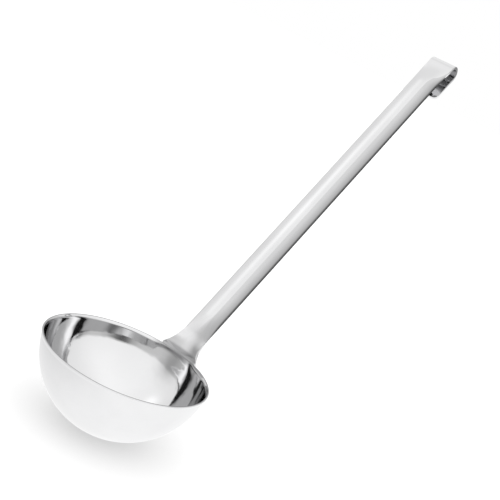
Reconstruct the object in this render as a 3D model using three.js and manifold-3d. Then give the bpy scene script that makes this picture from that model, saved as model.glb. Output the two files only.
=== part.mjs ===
// A serving ladle: a drawn bowl whose wall runs out over the neck, and a pressed strip handle that is welded
// to the outside of the bowl.
// Millimetres. The origin is under the bowl, +Z is the bowl's axis, and the handle leans towards +X.
import * as THREE from "three";
import { mergeVertices } from "three/addons/utils/BufferGeometryUtils.js";
import Module from "manifold-3d";

const wasm = await Module();
wasm.setup();

// Driving dimensions of the bowl
const rimRadius = 50;
const bowlRadius = 49.3;
const bowlWall = 1.2;
const rimBelowCentre = 3.8;
const lipHeight = 1.8;
const baseFlatRadius = 8;

// Driving dimensions of the apron: near the neck the wall turns out and runs on over the lip onto the handle
const neckPush = 0.6;
const neckPushFull = 9;
const neckPushEnd = 18;
const apronDepth = 4;
const apronLength = 16;
const apronSheet = 1;
const apronThinEdge = 0.35;
const apronThinFrom = 0.3;
const apronRise = 9;
const apronRun = 6;
const apronSunk = 0.1;

// Driving dimensions of the handle
const handleLean = THREE.MathUtils.degToRad(54.7);
const handleLength = 269;
const handleWidth = 17.8;
const handleSheet = 1.8;
const crownHeight = 2.2;
const hookGap = 8.4;
const tongueLength = 19.4;
const tongueCorner = 3;
const footWidth = 26;
const footDepth = 13.5;
const footCorner = 9;
const flareLength = 15.5;
const flarePower = 3.6;
const neckTurnLength = 14;
const crownStart = 30;
const crownFadeStart = 243;
const crownFadeEnd = 261;

// How far below the rim the foot begins to turn out to the lip, and the bulge of a sheet's edges by thickness
const lipTurnDepth = 9;
const edgeBulge = 0.12;

// The welds and the clearance between separate pieces
const weldRadius = 2.4;
const weldSpread = 6;
const weldBelowRim = 7;
const weldStandsOut = 0.3;
const seatGap = 0.25;

// The rounded edge of the lip runs between these two angles
const lipStartAngle = THREE.MathUtils.degToRad(-11);
const lipEndAngle = THREE.MathUtils.degToRad(162);

// Fineness of the round stretches
const bowlSegments = 96;
const bowlArcSteps = 20;
const stripSteps = 10;
const footSteps = 3;
const neckSteps = 20;
const apronSteps = 16;
const shankSteps = 8;
const foldSteps = 14;
const cornerSteps = 5;
const lipSteps = 6;
const weldSegments = 28;

// Worked out from the driving dimensions
const centreHeight = Math.sqrt(bowlRadius ** 2 - baseFlatRadius ** 2);
const rimHeight = centreHeight - rimBelowCentre;
const foldRadius = hookGap / 2 + handleSheet;
const alongHandle = new THREE.Vector2(Math.cos(handleLean), Math.sin(handleLean));
const handleFace = new THREE.Vector2(-Math.sin(handleLean), Math.cos(handleLean));
const towardsAxis = new THREE.Vector2(-1, 0);

function smoothStep(value, from, to) {
  return THREE.MathUtils.smoothstep(value, from, to);
}

function steel(colour) {
  return new THREE.MeshStandardMaterial({ color: colour, metalness: 1, roughness: 0.25 });
}

function solidFrom(geometry) {
  const plain = new THREE.BufferGeometry();
  plain.setAttribute("position", geometry.getAttribute("position"));
  plain.setIndex(geometry.getIndex());
  const welded = mergeVertices(plain, 1e-4);
  const vertProperties = new Float32Array(welded.getAttribute("position").array);
  const corners = welded.getIndex().array;
  const kept = [];
  for (let i = 0; i < corners.length; i += 3) {
    const [a, b, c] = corners.slice(i, i + 3);
    if (a !== b && b !== c && c !== a) kept.push(a, b, c);
  }
  const triVerts = new Uint32Array(kept);
  return new wasm.Manifold(new wasm.Mesh({ numProp: 3, vertProperties, triVerts }));
}

function geometryFrom(solid) {
  const mesh = solid.getMesh();
  const geometry = new THREE.BufferGeometry();
  geometry.setAttribute("position", new THREE.BufferAttribute(new Float32Array(mesh.vertProperties), 3));
  geometry.setIndex(new THREE.BufferAttribute(new Uint32Array(mesh.triVerts), 1));
  geometry.computeVertexNormals();
  return geometry;
}

function namedMesh(name, geometry, material) {
  const mesh = new THREE.Mesh(geometry, material);
  mesh.name = name;
  return mesh;
}

// One side of the bowl's wall, from its base up to the lip, set in from the outside by inset
function bowlSide(inset) {
  const radius = bowlRadius - inset;
  const lipFoot = rimBelowCentre + lipHeight;
  const startAngle = Math.acos(baseFlatRadius / bowlRadius);
  const endAngle = Math.asin(lipFoot / radius);
  const points = [];
  for (let i = 0; i <= bowlArcSteps; i++) {
    const angle = THREE.MathUtils.lerp(startAngle, endAngle, i / bowlArcSteps);
    points.push(new THREE.Vector2(radius * Math.cos(angle), centreHeight - radius * Math.sin(angle)));
  }
  return points;
}

// The lip turns out from the wall and ends in a rounded edge
function bowlProfile() {
  const outside = bowlSide(0);
  const inside = bowlSide(bowlWall);
  const edgeRadius = bowlWall / 2;
  const edgeCentre = new THREE.Vector2(rimRadius - edgeRadius, rimHeight - edgeRadius);
  const lip = [];
  for (let i = 0; i <= lipSteps; i++) {
    const angle = THREE.MathUtils.lerp(lipStartAngle, lipEndAngle, i / lipSteps);
    const x = edgeCentre.x + edgeRadius * Math.cos(angle);
    const y = edgeCentre.y + edgeRadius * Math.sin(angle);
    lip.push(new THREE.Vector2(x, y));
  }
  const base = [new THREE.Vector2(0, outside[0].y)];
  const floor = [new THREE.Vector2(0, inside[0].y)];
  return [...base, ...outside, ...lip, ...inside.reverse(), ...floor];
}

// How far the wall is turned out near the neck, at a height measured from the rim
function wallPush(height, across) {
  const reach = 1 - smoothStep(Math.abs(across), neckPushFull, neckPushEnd);
  return neckPush * smoothStep(height, -lipTurnDepth, 0) * reach;
}

function turnOutAtNeck(lathe) {
  const points = lathe.getAttribute("position");
  for (let i = 0; i < points.count; i++) {
    const [x, y] = [points.getX(i), points.getY(i)];
    const height = points.getZ(i) - rimHeight;
    const onWall = height > -lipTurnDepth && height < -lipHeight / 2 && x > 0;
    if (!onWall) continue;
    const stretch = 1 + wallPush(height, y) / Math.hypot(x, y);
    points.setXY(i, x * stretch, y * stretch);
  }
}

// How far the inner face of the foot is from the bowl's axis, at a height measured from the rim
function footReach(height) {
  const clear = bowlRadius + seatGap;
  const wall = Math.sqrt(clear ** 2 - (height - rimBelowCentre) ** 2);
  const wallAtRim = Math.sqrt(clear ** 2 - rimBelowCentre ** 2);
  const lipPush = rimRadius + seatGap - wallAtRim;
  return wall + lipPush * smoothStep(height, -lipTurnDepth, 0);
}

// A station of a strip: the level of its edges, the way its face looks, its width, crown and thickness
function station(edge, face, width, crown, sheet = handleSheet) {
  return { edge, face, width, crown, sheet };
}

function footStation(height, width) {
  const reach = footReach(height);
  const edgeReach = Math.sqrt(reach ** 2 - (width / 2) ** 2);
  const edge = new THREE.Vector2(edgeReach, rimHeight + height);
  return station(edge, towardsAxis, width, edgeReach - reach);
}

function footStations() {
  const stations = [];
  for (let i = 0; i <= cornerSteps; i++) {
    const angle = ((i / cornerSteps) * Math.PI) / 2;
    const height = -footDepth + footCorner * (1 - Math.cos(angle));
    stations.push(footStation(height, footWidth - 2 * footCorner * (1 - Math.sin(angle))));
  }
  const top = -footDepth + footCorner;
  for (let i = 1; i <= footSteps; i++) {
    stations.push(footStation(top * (1 - i / footSteps), footWidth));
  }
  return stations;
}

const neckRoot = footStation(0, footWidth);

function shankEdge(distance) {
  return neckRoot.edge.clone().addScaledVector(alongHandle, distance);
}

// The foot is hollow towards the bowl; the crown turns the other way along the neck and fades before the hook
function shankCrown(distance) {
  if (distance > crownStart) return crownHeight * (1 - smoothStep(distance, crownFadeStart, crownFadeEnd));
  return THREE.MathUtils.lerp(neckRoot.crown, crownHeight, smoothStep(distance, 0, crownStart));
}

function shankStation(distance) {
  const turn = smoothStep(distance, 0, neckTurnLength) * (Math.PI / 2 - handleLean);
  const face = towardsAxis.clone().rotateAround(new THREE.Vector2(), -turn);
  const flare = Math.max(0, 1 - distance / flareLength) ** flarePower;
  const width = handleWidth + (footWidth - handleWidth) * flare;
  return station(shankEdge(distance), face, width, shankCrown(distance));
}

function stepsBetween(from, to, count) {
  return Array.from({ length: count }, (_, i) => THREE.MathUtils.lerp(from, to, (i + 1) / count));
}

function shankStations() {
  const neck = stepsBetween(0, crownStart, neckSteps);
  const shank = stepsBetween(crownStart, crownFadeStart, shankSteps);
  const fade = stepsBetween(crownFadeStart, crownFadeEnd, shankSteps);
  return [...neck, ...shank, ...fade].map(shankStation);
}

// The hook: a half turn to the back, then a flat tongue with rounded corners
function hookStations() {
  const centre = shankEdge(handleLength - foldRadius).addScaledVector(handleFace, -foldRadius);
  const stations = [];
  for (let i = 0; i <= foldSteps; i++) {
    const angle = (Math.PI * i) / foldSteps;
    const face = handleFace.clone().multiplyScalar(Math.cos(angle));
    face.addScaledVector(alongHandle, Math.sin(angle));
    stations.push(station(centre.clone().addScaledVector(face, foldRadius), face, handleWidth, 0));
  }
  const back = handleFace.clone().negate();
  const tongueRoot = centre.clone().addScaledVector(back, foldRadius);
  for (let i = 0; i <= cornerSteps; i++) {
    const angle = ((i / cornerSteps) * Math.PI) / 2;
    const reach = tongueLength - tongueCorner * (1 - Math.sin(angle));
    const width = handleWidth - 2 * tongueCorner * (1 - Math.cos(angle));
    stations.push(station(tongueRoot.clone().addScaledVector(alongHandle, -reach), back, width, 0));
  }
  return stations;
}

// The middle line of the apron's face: up from the bowl's inner wall, over the lip and onto the neck
function apronCurve() {
  const drop = rimBelowCentre + apronDepth;
  const wall = Math.sqrt((bowlRadius - bowlWall) ** 2 - drop ** 2);
  const start = new THREE.Vector2(wall + wallPush(-apronDepth, 0) + apronSunk, rimHeight - apronDepth);
  const overLip = new THREE.Vector2(rimRadius - bowlWall - apronSunk, rimHeight);
  const startWay = overLip.sub(start).normalize();
  const neckMiddle = (distance) => {
    const { edge, face, crown } = shankStation(distance);
    return edge.clone().addScaledVector(face, crown);
  };
  const end = neckMiddle(apronLength);
  const endWay = end.clone().sub(neckMiddle(apronLength - 1)).normalize();
  end.addScaledVector(handleFace, seatGap + apronThinEdge);
  const startPull = start.clone().addScaledVector(startWay, apronRise);
  const endPull = end.clone().addScaledVector(endWay, -apronRun);
  return new THREE.CubicBezierCurve(start, startPull, endPull, end);
}

function apronStations() {
  const curve = apronCurve();
  const stations = [];
  for (let i = 0; i <= apronSteps; i++) {
    const share = i / apronSteps;
    const distance = Math.max(0, THREE.MathUtils.lerp(-apronDepth, apronLength, share));
    const { width, crown } = shankStation(distance);
    const way = curve.getTangent(share);
    const face = new THREE.Vector2(-way.y, way.x);
    const edge = curve.getPoint(share).addScaledVector(face, -crown);
    const sheet = THREE.MathUtils.lerp(apronSheet, apronThinEdge, smoothStep(share, apronThinFrom, 1));
    stations.push(station(edge, face, width, crown, sheet));
  }
  return stations;
}

// The points round the sheet's section at one station: the face, an edge, the back, the other edge
function sectionRing({ edge, face, width, crown, sheet }) {
  const half = width / 2;
  const front = [];
  const rear = [];
  const sides = [];
  for (let i = 0; i <= stripSteps; i++) {
    const across = -1 + (2 * i) / stripSteps;
    const height = crown * (1 - across ** 2);
    const slope = (2 * crown * across) / half;
    const length = Math.hypot(1, slope);
    const at = (depth, out) => {
      const level = height - depth / length;
      const y = across * half - (depth * slope) / length + out;
      return new THREE.Vector3(edge.x + face.x * level, y, edge.y + face.y * level);
    };
    front.push(at(0, 0));
    rear.push(at(sheet, 0));
    if (i === 0 || i === stripSteps) sides.push(at(sheet / 2, across * edgeBulge * sheet));
  }
  return [...front, sides[1], ...rear.reverse(), sides[0]];
}

function stripGeometry(stations) {
  const rings = stations.map(sectionRing);
  const count = rings[0].length;
  const last = (rings.length - 1) * count;
  const indices = [];
  for (let s = 0; s + 1 < rings.length; s++) {
    for (let i = 0; i < count; i++) {
      const a = s * count + i;
      const b = s * count + ((i + 1) % count);
      indices.push(a, a + count, b, b, a + count, b + count);
    }
  }
  // Each end is closed by a strip of faces between the front and the back of its ring
  const front = stripSteps;
  for (let i = 0; i < stripSteps; i++) {
    const back = count - 2 - i;
    indices.push(i, i + 1, back, i + 1, back - 1, back);
    indices.push(last + i, last + back, last + i + 1, last + i + 1, last + back, last + back - 1);
  }
  indices.push(count - 1, 0, count - 2, last + count - 1, last + count - 2, last);
  indices.push(front, front + 1, front + 2, last + front, last + front + 2, last + front + 1);
  const positions = rings.flat().flatMap((point) => point.toArray());
  const geometry = new THREE.BufferGeometry();
  geometry.setAttribute("position", new THREE.Float32BufferAttribute(positions, 3));
  geometry.setIndex(indices);
  return geometry;
}

// A round bar square to the bowl's wall at one weld, between two distances from the bowl's centre
function weldBar(side, radius, from, to) {
  const height = -weldBelowRim - rimBelowCentre;
  const flat = Math.sqrt(bowlRadius ** 2 - height ** 2 - weldSpread ** 2);
  const outward = new THREE.Vector3(flat, side * weldSpread, height).normalize();
  const geometry = new THREE.CylinderGeometry(radius, radius, to - from, weldSegments);
  geometry.applyQuaternion(new THREE.Quaternion().setFromUnitVectors(new THREE.Vector3(0, 1, 0), outward));
  const middle = outward.multiplyScalar((from + to) / 2);
  geometry.translate(middle.x, middle.y, middle.z + centreHeight);
  return geometry;
}

function makeBowl() {
  const lathe = new THREE.LatheGeometry(bowlProfile(), bowlSegments);
  lathe.rotateX(Math.PI / 2);
  turnOutAtNeck(lathe);
  const apron = solidFrom(stripGeometry(apronStations()));
  return namedMesh("bowl", geometryFrom(solidFrom(lathe).add(apron)), steel(0xd6d7d9));
}

function makeHandle() {
  const stations = [...footStations(), ...shankStations(), ...hookStations()];
  const holeStart = bowlRadius - bowlWall;
  const holeEnd = bowlRadius + 3 * handleSheet;
  let strip = solidFrom(stripGeometry(stations));
  for (const side of [1, -1]) {
    const hole = weldBar(side, weldRadius + seatGap, holeStart, holeEnd);
    strip = strip.subtract(solidFrom(hole));
  }
  return namedMesh("handle", geometryFrom(strip), steel(0xcfd1d4));
}

function makeWeld(name, side) {
  const from = bowlRadius + seatGap;
  const to = bowlRadius + seatGap + handleSheet + 2 * weldStandsOut;
  return namedMesh(name, weldBar(side, weldRadius, from, to), steel(0xc4c6c9));
}

const ladle = new THREE.Group();
ladle.name = "ladle";
ladle.add(makeBowl(), makeHandle(), makeWeld("spot_weld_left", 1), makeWeld("spot_weld_right", -1));

export default ladle;
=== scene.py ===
import math

import bmesh
import bpy
from mathutils import Matrix, Vector


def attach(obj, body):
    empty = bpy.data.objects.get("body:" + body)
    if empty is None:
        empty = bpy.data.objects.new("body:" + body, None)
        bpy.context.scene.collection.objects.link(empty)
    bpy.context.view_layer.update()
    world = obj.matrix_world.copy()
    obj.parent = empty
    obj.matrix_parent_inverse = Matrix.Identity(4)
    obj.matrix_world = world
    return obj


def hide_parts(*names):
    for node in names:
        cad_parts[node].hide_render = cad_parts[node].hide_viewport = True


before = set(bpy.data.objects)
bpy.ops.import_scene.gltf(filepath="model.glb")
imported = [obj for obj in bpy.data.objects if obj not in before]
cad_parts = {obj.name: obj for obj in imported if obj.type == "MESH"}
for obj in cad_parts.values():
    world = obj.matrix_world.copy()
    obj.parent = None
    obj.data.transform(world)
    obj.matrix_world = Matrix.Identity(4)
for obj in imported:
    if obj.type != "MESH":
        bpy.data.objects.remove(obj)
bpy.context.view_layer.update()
print("frame loaded:", ", ".join(sorted(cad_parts)))


# small helpers for working on one object as by hand
meshRules = {
    "smoothBelow": math.radians(50),
    "roundAbove": math.radians(60),
    "roundSteps": 4,
    "near": 1e-6,
}


def deselectAll():
    if bpy.context.object and bpy.context.object.mode != "OBJECT":
        bpy.ops.object.mode_set(mode="OBJECT")
    bpy.ops.object.select_all(action="DESELECT")


def startPiece(name):
    piece = bpy.context.object
    piece.name = name
    piece.data.name = name
    bpy.ops.object.transform_apply(location=True, rotation=True, scale=True)
    return piece


def editAll():
    bpy.ops.object.mode_set(mode="EDIT")
    bpy.ops.mesh.select_all(action="SELECT")


def inPlane(edge, point, way):
    return all(abs((vert.co - point).dot(way)) < meshRules["near"] for vert in edge.verts)


def pickEdges(piece, wanted):
    bpy.ops.mesh.select_mode(type="EDGE")
    bpy.ops.mesh.select_all(action="DESELECT")
    mesh = bmesh.from_edit_mesh(piece.data)
    for edge in mesh.edges:
        if wanted(edge):
            edge.select_set(True)
    bmesh.update_edit_mesh(piece.data)


def addModifier(piece, kind, **settings):
    modifier = piece.modifiers.new(kind.title(), kind)
    for name, value in settings.items():
        setattr(modifier, name, value)
    bpy.context.view_layer.objects.active = piece
    bpy.ops.object.modifier_apply(modifier=modifier.name)


def roundEdges(piece, width, steps):
    limit = meshRules["roundAbove"]
    addModifier(piece, "BEVEL", width=width, segments=steps, limit_method="ANGLE", angle_limit=limit)


def finishPiece(piece, slotName, material, *nodes):
    deselectAll()
    piece.select_set(True)
    bpy.context.view_layer.objects.active = piece
    bpy.ops.object.shade_smooth_by_angle(angle=meshRules["smoothBelow"])
    piece.data.materials.clear()
    piece.data.materials.append(material)
    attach(piece, "root")
    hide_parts(*nodes)
    print(piece.name, "faces:", len(piece.data.polygons))


def smoothStep(value, low, high):
    share = min(1.0, max(0.0, (value - low) / (high - low)))
    return share * share * (3 - 2 * share)


def spread(low, high, count):
    return [low + (high - low) * (step + 1) / count for step in range(count)]


def sweep(angle, count):
    return [angle * step / count for step in range(count + 1)]


# shader writing: a wire is one socket, and sums on wires add Math nodes

class Wire:
    def __init__(self, bench, socket):
        self.bench = bench
        self.socket = socket

    def sum(self, operation, first, second):
        return self.bench.node("ShaderNodeMath", {"operation": operation}, {0: first, 1: second})

    def __add__(self, other):
        return self.sum("ADD", self, other)

    def __radd__(self, other):
        return self.sum("ADD", other, self)

    def __sub__(self, other):
        return self.sum("SUBTRACT", self, other)

    def __rsub__(self, other):
        return self.sum("SUBTRACT", other, self)

    def __mul__(self, other):
        return self.sum("MULTIPLY", self, other)

    def __rmul__(self, other):
        return self.sum("MULTIPLY", other, self)

    def __pow__(self, other):
        return self.sum("POWER", self, other)

    def __rpow__(self, other):
        return self.sum("POWER", other, self)


class Bench:
    def __init__(self, tree):
        self.tree = tree
        tree.nodes.clear()

    def node(self, kind, settings=None, inputs=None, output=0):
        made = self.tree.nodes.new(kind)
        for name, value in (settings or {}).items():
            if name == "stops":
                ramp = made.color_ramp
                while len(ramp.elements) < len(value):
                    ramp.elements.new(1.0)
                for element, (place, grey) in zip(ramp.elements, value):
                    element.position = place
                    element.color = (grey, grey, grey, 1.0)
            else:
                setattr(made, name, value)
        for name, value in (inputs or {}).items():
            if isinstance(value, Wire):
                self.tree.links.new(value.socket, made.inputs[name])
            else:
                made.inputs[name].default_value = value
        return Wire(self, made.outputs[output]) if made.outputs else None

    def parts(self, vector):
        split = self.node("ShaderNodeSeparateXYZ", inputs={"Vector": vector}).socket.node
        return [Wire(self, socket) for socket in split.outputs]

    def vector(self, x, y, z):
        return self.node("ShaderNodeCombineXYZ", inputs={"X": x, "Y": y, "Z": z})

    def noise(self, vector, scale, detail=2.0):
        return self.node("ShaderNodeTexNoise", inputs={"Vector": vector, "Scale": scale, "Detail": detail})

    def soft(self, value, low, high):
        settings = {"interpolation_type": "SMOOTHSTEP"}
        return self.node("ShaderNodeMapRange", settings, {"Value": value, "From Min": low, "From Max": high})

    def most(self, first, second):
        return self.node("ShaderNodeMath", {"operation": "MAXIMUM"}, {0: first, 1: second})

    def blend(self, factor, first, second):
        return self.node("ShaderNodeMix", {"data_type": "RGBA"}, {0: factor, 6: first, 7: second}, 2)

    def mixShaders(self, factor, first, second):
        return self.node("ShaderNodeMixShader", inputs={0: factor, 1: first, 2: second})

    def whiteGlow(self, strength):
        return self.node("ShaderNodeEmission", inputs={"Color": (1, 1, 1, 1), "Strength": strength})

    def ray(self, name):
        return self.node("ShaderNodeLightPath", output=name)


def greyColour(level, blue=0.006):
    return (level, level, level + blue, 1.0)


# polished steel: cloudy tone, faint smears in the gloss, and fine lines left by the polishing wheel
steelLook = {
    "cloudScale": 38.0,
    "cloudRange": (0.3, 0.7),
    "cloudShare": 0.7,
    "smearScale": 120.0,
    "smearRange": (0.45, 0.75),
    "smear": 0.035,
    "lineGloss": 0.03,
    "lineDepth": 0.00002,
}


def makeSteel(name, finish, lineVector, change=None):
    look = steelLook
    material = bpy.data.materials.new(name)
    material.use_nodes = True
    bench = Bench(material.node_tree)
    place = bench.node("ShaderNodeTexCoord", output="Object")
    cloud = bench.soft(bench.noise(place, look["cloudScale"], 3.0), *look["cloudRange"])
    smear = bench.soft(bench.noise(place, look["smearScale"], 4.0), *look["smearRange"])
    lines = bench.noise(lineVector(bench, place), 1.0, 3.0)
    cloudy = cloud * look["cloudShare"] + lines * (1 - look["cloudShare"])
    darkest, lightest = finish["tone"]
    steel = {
        "colour": bench.blend(cloudy, greyColour(darkest), greyColour(lightest)),
        "roughness": finish["gloss"] + look["smear"] * smear + look["lineGloss"] * lines,
        "lines": lines,
    }
    if change:
        change(bench, place, steel)
    bumpInputs = {"Strength": finish["lines"], "Distance": look["lineDepth"], "Height": steel["lines"]}
    if "wave" in steel:
        bumpInputs["Normal"] = steel["wave"]
    bump = bench.node("ShaderNodeBump", inputs=bumpInputs)
    shader = bench.node(
        "ShaderNodeBsdfPrincipled",
        inputs={
            "Base Color": steel["colour"],
            "Metallic": 1.0,
            "Roughness": steel["roughness"],
            "Normal": bump,
        },
    )
    bench.node("ShaderNodeOutputMaterial", inputs={"Surface": shader})
    return material


# the bowl: a ball cut off at the lip and the base, a lip turned out, then the wall's thickness
bowlSpec = {
    "ballRadius": 0.0493,
    "baseRadius": 0.008,
    "baseRound": 0.0022,
    "rimRadius": 0.05,
    "rimBelowCentre": 0.0038,
    "lipHeight": 0.0018,
    "wall": 0.0012,
    "lipSteps": [(0.0492, -0.0013), (0.04948, -0.0008), (0.0498, -0.00032)],
    "lipRound": 0.0005,
    "neckPush": 0.0006,
    "neckSpan": (0.009, 0.018),
    "segments": 192,
    "rings": 128,
}
bowlCentre = math.sqrt(bowlSpec["ballRadius"] ** 2 - bowlSpec["baseRadius"] ** 2)
rimHeight = bowlCentre - bowlSpec["rimBelowCentre"]

bowlFinish = {
    "tone": (0.83, 0.875),
    "gloss": 0.03,
    "lines": 0.15,
    "lineScale": 2600.0,
    "waveScale": 70.0,
    "waveDepth": 0.00022,
    # painted shade: a dark line along the lip's top edge
    "lipShadeRise": 0.0001,
    "edgeEnd": (0.0440, 0.0470),
    "lipShadeTone": 0.36,
    # painted shade: a dark band across the neck, with the handle's finish above it
    "neckRise": (-0.0040, -0.0012),
    "neckFall": (0.0022, 0.0046),
    "neckTone": 0.50,
    "upperNeckTone": 0.82,
}


def ringLines(bench, place):
    scale = bowlFinish["lineScale"]
    x, y, z = bench.parts(place)
    reach = (x * x + y * y) ** 0.5
    return bench.vector(reach * scale, z * scale, 0.0)


def changeBowlSteel(bench, place, steel):
    finish = bowlFinish
    x, y, z = bench.parts(place)
    above = z - rimHeight
    # painted shade: the top edge of the lip is painted dark grey, for the dark line it shows
    plain = 1 - bench.soft(x, *finish["edgeEnd"])
    edge = plain * bench.soft(above, -finish["lipShadeRise"], finish["lipShadeRise"])
    colour = bench.blend(edge, steel["colour"], greyColour(finish["lipShadeTone"]))
    # painted shade: a dark band is painted across the neck, with the handle's finish above it
    rise = bench.soft(above, *finish["neckRise"]) * (1 - plain)
    fall = bench.soft(above, *finish["neckFall"])
    colour = bench.blend(rise * (1 - fall), colour, greyColour(finish["neckTone"]))
    steel["colour"] = bench.blend(rise * fall, colour, greyColour(finish["upperNeckTone"]))
    steel["roughness"] = steel["roughness"] + rise * (handleFinish["gloss"] - finish["gloss"])
    # the drawn wall isn't quite even, so what it mirrors wavers
    wave = bench.noise(place, finish["waveScale"])
    waveInputs = {"Strength": 1.0, "Distance": finish["waveDepth"], "Height": wave}
    steel["wave"] = bench.node("ShaderNodeBump", inputs=waveInputs)


def wallPush(height, across):
    rise = smoothStep(height, -handleSpec["lipTurnDepth"], 0)
    return bowlSpec["neckPush"] * rise * (1 - smoothStep(abs(across), *bowlSpec["neckSpan"]))


def makeBowl():
    spec = bowlSpec
    up = Vector((0, 0, 1))
    lipFoot = rimHeight - spec["lipHeight"]
    deselectAll()
    bpy.ops.mesh.primitive_uv_sphere_add(
        segments=spec["segments"],
        ring_count=spec["rings"],
        radius=spec["ballRadius"],
        location=(0, 0, bowlCentre),
    )
    bowl = startPiece("steelBowl")
    editAll()
    bpy.ops.mesh.bisect(plane_co=(0, 0, lipFoot), plane_no=up, clear_outer=True)
    bpy.ops.mesh.select_all(action="SELECT")
    bpy.ops.mesh.bisect(plane_co=(0, 0, 0), plane_no=up, clear_inner=True, use_fill=True)
    # soften the edge of the small flat
    pickEdges(bowl, lambda edge: inPlane(edge, up * 0, up))
    bpy.ops.mesh.bevel(offset=spec["baseRound"], segments=meshRules["roundSteps"], affect="EDGES")
    # turn the lip out, one ring at a time
    reach = math.sqrt(spec["ballRadius"] ** 2 - (bowlCentre - lipFoot) ** 2)
    level = lipFoot
    for radius, drop in spec["lipSteps"]:
        pickEdges(bowl, lambda edge: edge.is_boundary and inPlane(edge, up * level, up))
        bpy.ops.mesh.extrude_edges_move(TRANSFORM_OT_translate={"value": (0, 0, rimHeight + drop - level)})
        size = radius / reach
        bpy.ops.transform.resize(value=(size, size, 1), center_override=(0, 0, 0))
        reach = radius
        level = rimHeight + drop
    bpy.ops.mesh.select_all(action="SELECT")
    bpy.ops.mesh.normals_make_consistent(inside=False)
    bpy.ops.object.mode_set(mode="OBJECT")
    # near the neck the wall turns out below the lip, to run on into the apron
    for vert in bowl.data.vertices:
        height = vert.co.z - rimHeight
        if vert.co.x > 0 and height > -handleSpec["lipTurnDepth"]:
            wall = math.sqrt(spec["ballRadius"] ** 2 - (height - spec["rimBelowCentre"]) ** 2)
            reach = math.hypot(vert.co.x, vert.co.y)
            stretch = max(1.0, (wall + wallPush(height, vert.co.y)) / reach)
            vert.co.x *= stretch
            vert.co.y *= stretch
    addModifier(bowl, "SOLIDIFY", thickness=spec["wall"], offset=-1, use_even_offset=True)
    roundEdges(bowl, spec["lipRound"], meshRules["roundSteps"])
    apron = makeApron()
    bowl.select_set(True)
    apron.select_set(True)
    bpy.context.view_layer.objects.active = bowl
    bpy.ops.object.join()
    material = makeSteel("bowlPolishedSteel", bowlFinish, ringLines, changeBowlSteel)
    finishPiece(bowl, "bowl_steel", material, "bowl")


# the handle: one strip whose width, crown and direction change on the way from the foot to the hook's tongue
handleSpec = {
    "lean": math.radians(54.7),
    "length": 0.26897,
    "width": 0.0178,
    "sheet": 0.0018,
    "crown": 0.0022,
    "hookGap": 0.0084,
    "tongue": 0.0194,
    "tongueCorner": 0.003,
    "footWidth": 0.026,
    "footDepth": 0.0135,
    "footCorner": 0.009,
    "flareLength": 0.0155,
    "flarePower": 3.6,
    "neckTurn": 0.014,
    "crownStart": 0.030,
    "crownFade": (0.243, 0.261),
    "lipTurnDepth": 0.009,
    "seatGap": 0.00025,
    "rollStart": 0.86,
    "rollDepth": 0.00045,
    "edgeRound": 0.0007,
    "columns": 49,
    "cornerRows": 12,
    "footRows": 10,
    "neckRows": 48,
    "shankRows": 60,
    "fadeRows": 24,
    "foldRows": 36,
}
handleAlong = Vector((math.cos(handleSpec["lean"]), 0, math.sin(handleSpec["lean"])))
handleFront = Vector((-math.sin(handleSpec["lean"]), 0, math.cos(handleSpec["lean"])))
handleRoot = Vector((0.0485, 0, rimHeight))  # about where the strip's edges pass the rim

handleFinish = {
    "tone": (0.80, 0.85),
    "gloss": 0.10,
    "lines": 0.12,
    "lineScale": (2400.0, 22.0),
    "hookFrom": (0.300, 0.312),
    "hookPolish": 0.85,
    "foldNear": (0.0015, 0.0018),
    "foldFar": (0.0103, 0.0106),
    # painted shade inside the hook's fold
    "foldShadeFrom": (0.3245, 0.3275),
    "foldShadeTone": 0.30,
}


def longLines(bench, place):
    acrossScale, alongScale = handleFinish["lineScale"]
    x, y, z = bench.parts(place)
    along = x * handleAlong.x + z * handleAlong.z
    return bench.vector(y * acrossScale, along * alongScale, 0.0)


def changeHandleSteel(bench, place, steel):
    finish = handleFinish
    x, y, z = bench.parts(place)
    along = x * handleAlong.x + z * handleAlong.z
    depth = (handleRoot.x - x) * handleFront.x + (handleRoot.z - z) * handleFront.z
    # the hook is glossier than the shank, and painted shade darkens the inside of its fold
    hook = bench.soft(along, *finish["hookFrom"])
    innerFace = bench.soft(depth, *finish["foldNear"]) * (1 - bench.soft(depth, *finish["foldFar"]))
    foldShade = innerFace * bench.soft(along, *finish["foldShadeFrom"])
    steel["colour"] = bench.blend(foldShade, steel["colour"], greyColour(finish["foldShadeTone"]))
    steel["roughness"] = steel["roughness"] * (1 - finish["hookPolish"] * hook)
    steel["lines"] = steel["lines"] * (1 - hook)


def footLine(height, width):
    spec = handleSpec
    clear = bowlSpec["ballRadius"] + spec["seatGap"]
    drop = bowlSpec["rimBelowCentre"]
    wallAtRim = math.sqrt(clear ** 2 - drop ** 2)
    push = bowlSpec["rimRadius"] + spec["seatGap"] - wallAtRim
    reach = math.sqrt(clear ** 2 - (height - drop) ** 2) + push * smoothStep(height, -spec["lipTurnDepth"], 0)
    edgeReach = math.sqrt(reach ** 2 - (width / 2) ** 2)
    return {
        "edge": Vector((edgeReach, 0, rimHeight + height)),
        "face": Vector((-1, 0, 0)),
        "width": width,
        "crown": edgeReach - reach,
        "roll": 0.0,
    }


def shankLine(distance, root):
    spec = handleSpec
    turn = smoothStep(distance, 0, spec["neckTurn"]) * (math.pi / 2 - spec["lean"])
    flare = max(0.0, 1 - distance / spec["flareLength"]) ** spec["flarePower"]
    start = smoothStep(distance, 0, spec["crownStart"])
    fade = 1 - smoothStep(distance, *spec["crownFade"])
    crown = root["crown"] + (spec["crown"] - root["crown"]) * start
    return {
        "edge": root["edge"] + handleAlong * distance,
        "face": Vector((-math.cos(turn), 0, math.sin(turn))),
        "width": spec["width"] + (spec["footWidth"] - spec["width"]) * flare,
        "crown": crown * fade,
        "roll": start * fade,
    }


def flatLine(edge, face, width):
    return {"edge": edge, "face": face, "width": width, "crown": 0.0, "roll": 0.0}


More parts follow.
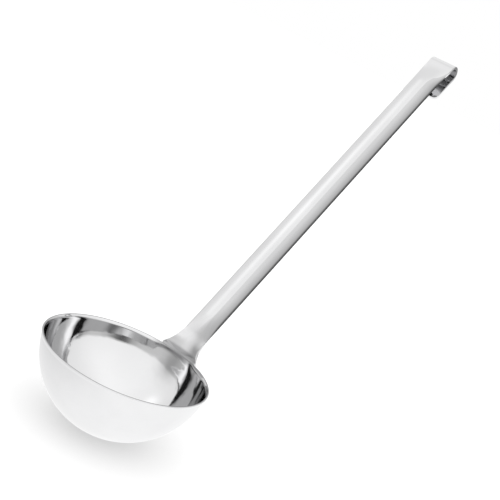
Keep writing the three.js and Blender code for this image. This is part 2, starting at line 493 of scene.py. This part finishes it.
def stripLines():
    spec = handleSpec
    lines = []
    for angle in sweep(math.pi / 2, spec["cornerRows"]):
        height = -spec["footDepth"] + spec["footCorner"] * (1 - math.cos(angle))
        lines.append(footLine(height, spec["footWidth"] - 2 * spec["footCorner"] * (1 - math.sin(angle))))
    for height in spread(spec["footCorner"] - spec["footDepth"], 0, spec["footRows"]):
        lines.append(footLine(height, spec["footWidth"]))
    root = lines[-1]
    fadeStart, fadeEnd = spec["crownFade"]
    stops = spread(0, spec["crownStart"], spec["neckRows"])
    stops += spread(spec["crownStart"], fadeStart, spec["shankRows"])
    stops += spread(fadeStart, fadeEnd, spec["fadeRows"])
    lines += [shankLine(distance, root) for distance in stops]
    foldRadius = spec["hookGap"] / 2 + spec["sheet"]
    centre = root["edge"] + handleAlong * (spec["length"] - foldRadius) - handleFront * foldRadius
    for angle in sweep(math.pi, spec["foldRows"]):
        face = handleFront * math.cos(angle) + handleAlong * math.sin(angle)
        lines.append(flatLine(centre + face * foldRadius, face, spec["width"]))
    for angle in sweep(math.pi / 2, spec["cornerRows"]):
        reach = spec["tongue"] - spec["tongueCorner"] * (1 - math.sin(angle))
        width = spec["width"] - 2 * spec["tongueCorner"] * (1 - math.cos(angle))
        lines.append(flatLine(centre - handleFront * foldRadius - handleAlong * reach, -handleFront, width))
    return lines


def makeHandle():
    spec = handleSpec
    lines = stripLines()
    columns = spec["columns"]
    deselectAll()
    bpy.ops.mesh.primitive_grid_add(x_subdivisions=columns - 1, y_subdivisions=len(lines) - 1, size=1)
    handle = startPiece("steelHandle")
    for vert in handle.data.vertices:
        line = lines[round((vert.co.y + 0.5) * (len(lines) - 1))]
        across = 2 * vert.co.x
        rolled = max(0.0, (abs(across) - spec["rollStart"]) / (1 - spec["rollStart"]))
        level = line["crown"] * (1 - across ** 2) - spec["rollDepth"] * line["roll"] * rolled ** 2
        point = line["edge"] + line["face"] * level
        vert.co = (point.x, across * line["width"] / 2, point.z)
    editAll()
    bpy.ops.mesh.flip_normals()
    bpy.ops.object.mode_set(mode="OBJECT")
    addModifier(handle, "SOLIDIFY", thickness=spec["sheet"], offset=-1, use_even_offset=True)
    roundEdges(handle, spec["edgeRound"], meshRules["roundSteps"])
    material = makeSteel("handlePolishedSteel", handleFinish, longLines, changeHandleSteel)
    finishPiece(handle, "handle_steel", material, "handle")


# the apron: the bowl's wall runs on over the lip, turns out and ends flush on the neck
apronSpec = {
    "depth": 0.004,
    "length": 0.016,
    "sheet": 0.001,
    "thinEdge": 0.00035,
    "thinFrom": 0.3,
    "rise": 0.009,
    "run": 0.006,
    "endStep": 0.001,
    "sunk": 0.0001,
    "edgeRound": 0.00012,
    "roundSteps": 3,
    "columns": 41,
    "rows": 61,
}


def neckLine(distance):
    return shankLine(distance, footLine(0, handleSpec["footWidth"]))


def neckMiddle(distance):
    line = neckLine(distance)
    return line["edge"] + line["face"] * line["crown"]


def apronLine(share):
    spec = apronSpec
    drop = bowlSpec["rimBelowCentre"] + spec["depth"]
    wall = math.sqrt((bowlSpec["ballRadius"] - bowlSpec["wall"]) ** 2 - drop ** 2)
    first = Vector((wall + wallPush(-spec["depth"], 0) + spec["sunk"], 0, rimHeight - spec["depth"]))
    overLip = Vector((bowlSpec["rimRadius"] - bowlSpec["wall"] - spec["sunk"], 0, rimHeight))
    second = first + (overLip - first).normalized() * spec["rise"]
    last = neckMiddle(spec["length"])
    third = last - (last - neckMiddle(spec["length"] - spec["endStep"])).normalized() * spec["run"]
    # a curve through first and last, drawn towards second and third, and the way it runs
    rest = 1 - share
    point = first * rest ** 3 + second * 3 * rest ** 2 * share
    point += third * 3 * rest * share ** 2 + last * share ** 3
    way = (second - first) * rest ** 2 + (third - second) * 2 * rest * share + (last - third) * share ** 2
    face = Vector((-way.z, 0, way.x)).normalized()
    neck = neckLine(max(0.0, share * (spec["depth"] + spec["length"]) - spec["depth"]))
    return {
        "edge": point - face * neck["crown"],
        "face": face,
        "width": neck["width"],
        "crown": neck["crown"],
    }


def makeApron():
    spec = apronSpec
    rows = spec["rows"]
    lines = [apronLine(row / (rows - 1)) for row in range(rows)]
    deselectAll()
    bpy.ops.mesh.primitive_grid_add(x_subdivisions=spec["columns"] - 1, y_subdivisions=rows - 1, size=1)
    apron = startPiece("bowlApron")
    thickness = apron.vertex_groups.new(name="thickness")
    for vert in apron.data.vertices:
        share = vert.co.y + 0.5
        line = lines[round(share * (rows - 1))]
        across = 2 * vert.co.x
        point = line["edge"] + line["face"] * line["crown"] * (1 - across ** 2)
        vert.co = (point.x, across * line["width"] / 2, point.z)
        thin = smoothStep(share, spec["thinFrom"], 1)
        thickness.add([vert.index], 1 - thin * (1 - spec["thinEdge"] / spec["sheet"]), "REPLACE")
    editAll()
    bpy.ops.mesh.flip_normals()
    bpy.ops.object.mode_set(mode="OBJECT")
    addModifier(apron, "SOLIDIFY", thickness=spec["sheet"], offset=-1, vertex_group="thickness")
    roundEdges(apron, spec["edgeRound"], spec["roundSteps"])
    return apron


# the spot welds: low buttons on the back of the foot, square to the bowl's wall
weldSpec = {
    "radius": 0.0024,
    "side": 0.006,
    "belowRim": 0.007,
    "standsOut": 0.0006,
    "edgeRound": 0.0005,
    "sides": 40,
}

weldFinish = {
    "tone": (0.60, 0.70),
    "gloss": 0.24,
    "lines": 0.3,
    "lineScale": 900.0,
}


def plainLines(bench, place):
    scale = weldFinish["lineScale"]
    x, y, z = bench.parts(place)
    return bench.vector(x * scale, y * scale, z * scale)


def makeWeld(name, node, side, material):
    spec = weldSpec
    centre = Vector((0, 0, bowlCentre))
    height = -spec["belowRim"] - bowlSpec["rimBelowCentre"]
    flat = math.sqrt(bowlSpec["ballRadius"] ** 2 - height ** 2 - spec["side"] ** 2)
    outward = Vector((flat, side * spec["side"], height)).normalized()
    inner = bowlSpec["ballRadius"] + handleSpec["seatGap"]
    thick = handleSpec["sheet"] + spec["standsOut"]
    deselectAll()
    bpy.ops.mesh.primitive_cylinder_add(
        vertices=spec["sides"],
        radius=spec["radius"],
        depth=thick,
        location=centre + outward * (inner + thick / 2),
        rotation=outward.to_track_quat("Z", "Y").to_euler(),
    )
    weld = startPiece(name)
    editAll()
    face = centre + outward * (inner + thick)
    pickEdges(weld, lambda edge: inPlane(edge, face, outward))
    bpy.ops.mesh.bevel(offset=spec["edgeRound"], segments=meshRules["roundSteps"], affect="EDGES")
    bpy.ops.object.mode_set(mode="OBJECT")
    finishPiece(weld, "weld_metal", material, node)


def makeWelds():
    material = makeSteel("weldDullSteel", weldFinish, plainLines)
    makeWeld("weldButtonLeft", "spot_weld_left", 1, material)
    makeWeld("weldButtonRight", "spot_weld_right", -1, material)


# the studio: a white floor that keeps the shadow, white air, and soft places that only polished metal shows
studioSpec = {
    "floorSize": 12.0,
    "floorTone": 0.9,
    "floorRoughness": 0.6,
    "floorGlow": 0.50,
    "floorMirror": 1.03,
    "floorLeft": (-0.58, 0.81),
    "floorFade": (-0.02, 0.14),
    "floorDim": 0.22,
    "airLight": 0.62,
    "metalBounce": 0.15,
    "sunLight": 0.5,
    "sunSpread": 90,
    "sunFrom": (-150, 75),
    # what a first reflection shows: white air over a grey low band
    "lowBand": (9.0, 13.5),
    "lowTone": 0.62,
    "highTone": 0.97,
    "overheadGain": 0.10,
    "leastLight": 0.01,
    # places by azimuth, and spots by elevation too: half width in degrees, and how much lighter or darker
    "sidePlaces": [(85, 45, -0.17), (-45, 30, -0.14)],
    "lowPlaces": [(-128, 14, -0.50), (-62, 10, -0.50), (151, 12, -0.26)],
    "spots": [(117, 44, 8, 0.26), (152, 8, 13, -0.40)],
    # what reflections from this bounce on show
    "deepBounce": 3,
    "deepTone": 0.48,
    "deepFade": 0.62,
    "deepPlaces": [
        (-133, 13, 0.80),
        (-162, 10, -0.80),
        (103, 12, -0.30),
        (62, 13, 0.45),
        (12, 10, -0.06),
        (-50, 12, -0.2),
    ],
}


def wayTo(azimuth, elevation=0.0):
    flat = math.cos(math.radians(elevation))
    return (
        flat * math.cos(math.radians(azimuth)),
        flat * math.sin(math.radians(azimuth)),
        math.sin(math.radians(elevation)),
    )


def softPlace(bench, way, centre, halfWidth, change):
    facing = bench.node("ShaderNodeVectorMath", {"operation": "DOT_PRODUCT"}, {0: way, 1: centre}, 1)
    sharp = math.log(2) / (1 - math.cos(math.radians(halfWidth)))
    return change * (math.e ** ((facing - 1) * sharp))


def addPlaces(bench, level, tone, places):
    for azimuth, halfWidth, change in places:
        tone = tone + softPlace(bench, level, wayTo(azimuth), halfWidth, change)
    return tone


def makeWorld():
    spec = studioSpec
    world = bpy.data.worlds.new("whiteStudio")
    bpy.context.scene.world = world
    world.use_nodes = True
    bench = Bench(world.node_tree)
    way = bench.node("ShaderNodeTexCoord", output="Generated")
    x, y, z = bench.parts(way)
    level = bench.node("ShaderNodeVectorMath", {"operation": "NORMALIZE"}, {0: bench.vector(x, y, 0.0)})
    low = addPlaces(bench, level, spec["lowTone"], spec["lowPlaces"])
    high = addPlaces(bench, level, spec["highTone"] + spec["overheadGain"] * z, spec["sidePlaces"])
    for azimuth, elevation, halfWidth, change in spec["spots"]:
        high = high + softPlace(bench, way, wayTo(azimuth, elevation), halfWidth, change)
    lowEdge, highEdge = [math.sin(math.radians(angle)) for angle in spec["lowBand"]]
    first = low + bench.soft(z, lowEdge, highEdge) * (high - low)
    depth = bench.ray("Ray Depth")
    deep = addPlaces(bench, level, spec["deepTone"], spec["deepPlaces"])
    deep = deep * spec["deepFade"] ** (depth - spec["deepBounce"])
    lateInputs = {0: depth, 1: spec["deepBounce"] - 0.5}
    late = bench.node("ShaderNodeMath", {"operation": "GREATER_THAN"}, lateInputs)
    shown = bench.most(first + late * (deep - first), spec["leastLight"])
    # light that the floor would get by way of the metal is held back, so the shadow stays tight
    scattered = bench.soft(bench.ray("Diffuse Depth"), 0.0, 1.0)
    shown = shown + scattered * (spec["metalBounce"] - shown)
    seen = bench.ray("Is Camera Ray") + bench.ray("Is Transmission Ray")
    glossy = bench.ray("Is Glossy Ray")
    strength = seen + glossy * shown + (1 - seen - glossy) * spec["airLight"]
    air = bench.node("ShaderNodeBackground", inputs={"Color": (1, 1, 1, 1), "Strength": strength})
    bench.node("ShaderNodeOutputWorld", inputs={"Surface": air})


# graded flags beside the handle and the neck, which darken the steel towards its right edge
handleFlagSpec = {
    "reach": 0.025,
    "span": (0.004, 0.275),
    "fade": (0.275, 0.280),
    "arc": (-10, 96),
    "shownWithin": (0.045, 0.060),
    "stops": [
        (0.0, 0.84),
        (0.16, 0.78),
        (0.33, 0.60),
        (0.5, 0.40),
        (0.63, 0.18),
        (0.83, 0.05),
        (1.0, 0.04),
    ],
    "neckShade": 0.34,
    "neckShadeEnd": (0.012, 0.052),
    "neckShadeSide": (0.2, 0.5),
    "steps": 24,
}
neckFlagSpec = {
    "reach": 0.025,
    "span": (-0.004, 0.044),
    "fade": (0.010, 0.044),
    "arc": (-62, -10),
    "shownWithin": (0.045, 0.060),
    "shownBeyond": (0.0245, 0.0305),
    "shownFrom": (0.45, 1.05),
    "stops": [(0.0, 0.40), (0.5, 0.36), (1.0, 0.55)],
    "steps": 24,
}


def makeFlagCloth(name, spec):
    material = bpy.data.materials.new(name)
    material.use_nodes = True
    bench = Bench(material.node_tree)
    x, y, z = bench.parts(bench.node("ShaderNodeTexCoord", output="Object"))
    height = (x - handleRoot.x) * handleFront.x + (z - handleRoot.z) * handleFront.z
    distance = (x - handleRoot.x) * handleAlong.x + (z - handleRoot.z) * handleAlong.z
    turned = bench.node("ShaderNodeMath", {"operation": "ARCTAN2"}, {0: y * -1.0, 1: height})
    start, end = [math.radians(angle) for angle in spec["arc"]]
    share = bench.node("ShaderNodeMapRange", inputs={"Value": turned, "From Min": start, "From Max": end})
    tone = bench.node("ShaderNodeValToRGB", {"stops": spec["stops"]}, {"Fac": share})
    if "neckShade" in spec:
        atNeck = 1 - bench.soft(distance, *spec["neckShadeEnd"])
        onSide = 1 - bench.soft(share, *spec["neckShadeSide"])
        tone = tone * (1 - spec["neckShade"] * atNeck * onSide)
    glow = bench.node("ShaderNodeEmission", inputs={"Color": tone, "Strength": 1.0})
    # only a first reflection of its inner side shows it, and only in steel that is near
    later = bench.soft(bench.ray("Ray Depth"), 1.0, 2.0)
    passed = bench.soft(bench.ray("Transparent Depth"), 0.0, 1.0)
    past = bench.soft(distance, *spec["fade"])
    remote = bench.soft(bench.ray("Ray Length"), *spec["shownWithin"])
    if "shownBeyond" in spec:
        # the far edge of the neck sees all of this flag, its middle only the side past shownFrom
        close = 1 - bench.soft(bench.ray("Ray Length"), *spec["shownBeyond"])
        remote = remote + close * (1 - bench.soft(share, *spec["shownFrom"]))
    behind = bench.node("ShaderNodeNewGeometry", output="Backfacing")
    hidden = bench.most(later + passed + remote + past, 1 - behind)
    clear = bench.node("ShaderNodeBsdfTransparent")
    shader = bench.mixShaders(hidden, glow, clear)
    bench.node("ShaderNodeOutputMaterial", inputs={"Surface": shader})
    return material


def makeFlag(name, spec):
    arcStart, arcEnd = spec["arc"]
    spanStart, spanEnd = spec["span"]
    deselectAll()
    bpy.ops.mesh.primitive_grid_add(x_subdivisions=spec["steps"], y_subdivisions=1, size=1)
    flag = startPiece(name)
    for vert in flag.data.vertices:
        turn = math.radians(arcStart + (vert.co.x + 0.5) * (arcEnd - arcStart))
        distance = spanStart + (vert.co.y + 0.5) * (spanEnd - spanStart)
        point = handleRoot + handleAlong * distance + handleFront * (spec["reach"] * math.cos(turn))
        vert.co = (point.x, -spec["reach"] * math.sin(turn), point.z)
    flag.data.materials.append(makeFlagCloth(name + "Cloth", spec))
    flag.visible_camera = False
    flag.visible_diffuse = False
    flag.visible_shadow = False
    flag.visible_transmission = False


def makeFloor():
    spec = studioSpec
    deselectAll()
    bpy.ops.mesh.primitive_plane_add(size=spec["floorSize"], location=(0, 0, 0))
    floor = startPiece("studioFloor")
    material = bpy.data.materials.new("whiteFloor")
    material.use_nodes = True
    bench = Bench(material.node_tree)
    shader = bench.node(
        "ShaderNodeBsdfPrincipled",
        inputs={
            "Base Color": greyColour(spec["floorTone"], 0.0),
            "Roughness": spec["floorRoughness"],
            "Specular IOR Level": 0.0,
            "Emission Color": (1, 1, 1, 1),
            "Emission Strength": spec["floorGlow"],
        },
    )
    # polished metal shows the floor without the shadow, a little darker to the left of the picture
    x, y, z = bench.parts(bench.node("ShaderNodeTexCoord", output="Object"))
    leftX, leftY = spec["floorLeft"]
    left = bench.soft(y * leftY + x * leftX, *spec["floorFade"])
    bright = bench.whiteGlow(spec["floorMirror"])
    dim = bench.whiteGlow(spec["floorMirror"] - spec["floorDim"])
    mirror = bench.mixShaders(left, bright, dim)
    glossy = bench.ray("Is Glossy Ray")
    scattered = bench.soft(bench.ray("Diffuse Depth"), 0.0, 1.0)
    shader = bench.mixShaders(glossy, shader, mirror)
    shader = bench.mixShaders(glossy * scattered, shader, bench.whiteGlow(spec["metalBounce"]))
    bench.node("ShaderNodeOutputMaterial", inputs={"Surface": shader})
    floor.data.materials.append(material)


def makeLamp():
    spec = studioSpec
    lamp = bpy.data.lights.new("softSun", "SUN")
    lamp.energy = spec["sunLight"]
    lamp.angle = math.radians(spec["sunSpread"])
    holder = bpy.data.objects.new("softSun", lamp)
    bpy.context.scene.collection.objects.link(holder)
    holder.rotation_euler = Vector(wayTo(*spec["sunFrom"])).to_track_quat("Z", "Y").to_euler()
    holder.visible_glossy = False


# the camera, turned about its own axis as the photograph is
cameraSpec = {
    "place": (-0.4631, -0.3025, 0.2609),
    "right": (0.530, -0.740, 0.414),
    "up": (-0.027, 0.473, 0.881),
    "lens": 76.45,
    "sensor": 36,
}


def makeCamera():
    spec = cameraSpec
    camera = bpy.data.cameras.new("photoCamera")
    camera.lens = spec["lens"]
    camera.sensor_width = spec["sensor"]
    holder = bpy.data.objects.new("photoCamera", camera)
    bpy.context.scene.collection.objects.link(holder)
    right = Vector(spec["right"]).normalized()
    back = right.cross(Vector(spec["up"])).normalized()
    up = back.cross(right)
    turn = Matrix((right, up, back)).transposed().to_4x4()
    holder.matrix_world = Matrix.Translation(spec["place"]) @ turn
    bpy.context.scene.camera = holder


makeCamera()
makeWorld()
makeFloor()
makeLamp()
makeFlag("handleFlag", handleFlagSpec)
makeFlag("neckFlag", neckFlagSpec)
print("studio ready")
makeBowl()
makeHandle()
makeWelds()
bpy.context.scene.view_settings.view_transform = "Standard"
